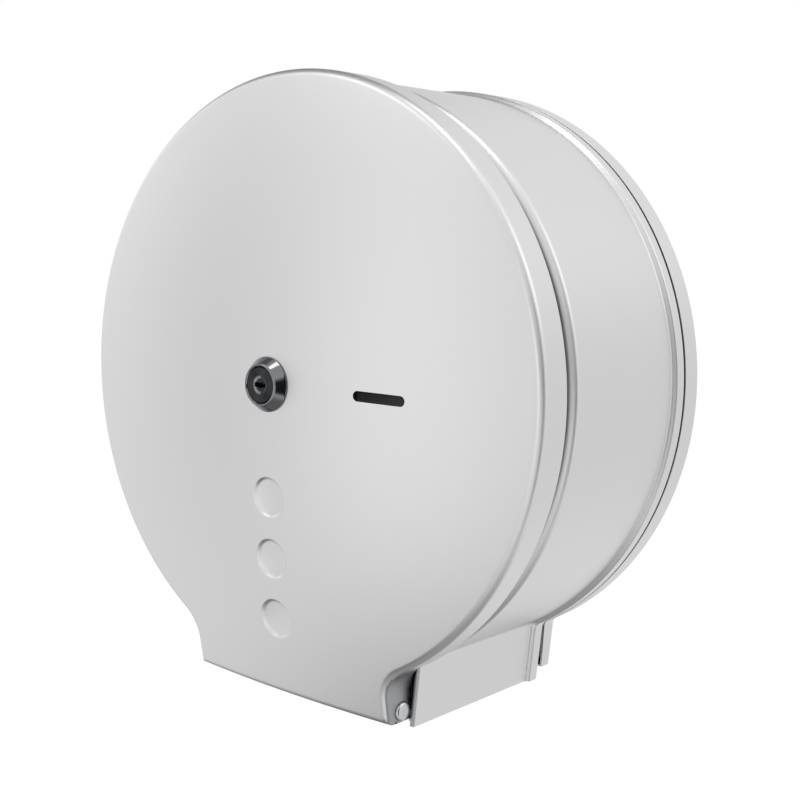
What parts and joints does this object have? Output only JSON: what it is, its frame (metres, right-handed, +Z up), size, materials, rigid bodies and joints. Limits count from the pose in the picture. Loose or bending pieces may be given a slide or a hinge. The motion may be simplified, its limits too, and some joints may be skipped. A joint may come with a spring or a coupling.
{
  "type": "jumbo toilet roll dispenser",
  "caption": "Round wall-mounted jumbo toilet roll dispenser in satin sheet steel, with a hinged crowned lid, centre lock, sight slot, pressed dimples and a flared open foot.",
  "frame": {"origin": "on the wall plane, on the axis of the round body and its spindle", "axes": "+X to the right as seen from the front, +Y into the wall, +Z up"},
  "size_m": [0.264, 0.1366, 0.2746],
  "materials": {
    "steel": "satin",
    "rivet": "satin",
    "chrome": "polished",
    "zinc": "zinc plated",
    "hub": "moulded",
    "washer": "moulded",
    "spring": "blackened"
  },
  "bodies": {
    "base": {"back_plate": "steel", "drum": "steel", "drum_brackets": "steel", "bracket_rivets": "rivet", "hinge_bracket_left": "steel", "hinge_bracket_right": "steel", "hinge_rivet_left": "rivet", "hinge_rivet_right": "rivet", "hinge_washer_left": "washer", "hinge_washer_right": "washer", "tear_blade_left": "steel", "tear_blade_right": "steel", "spindle_foot": "steel", "spindle_rivets": "rivet", "axle": "zinc", "hub_clip": "spring", "keeper": "steel", "keeper_screw": "zinc"},
    "lid": {"lid": "steel", "lock_barrel": "chrome", "lock_nut": "zinc"},
    "lock": {"lock_plug": "chrome", "lock_cam": "zinc", "cam_screw": "zinc"},
    "hub": {"core_hub": "hub"}
  },
  "joints": [
    {"name": "lid_hinge", "type": "hinge", "parent": "base", "child": "lid", "pos_m": [0, -0.1065, -0.135], "axis": [1, 0, 0], "range_deg": [0, 90]},
    {"name": "lock_turn", "type": "hinge", "parent": "lid", "child": "lock", "pos_m": [0, -0.114, 0], "axis": [0, 1, 0], "range_deg": [0, 90]},
    {"name": "hub_spin", "type": "hinge", "parent": "base", "child": "hub", "pos_m": [0, -0.0534, 0], "axis": [0, 1, 0], "continuous": true}
  ]
}
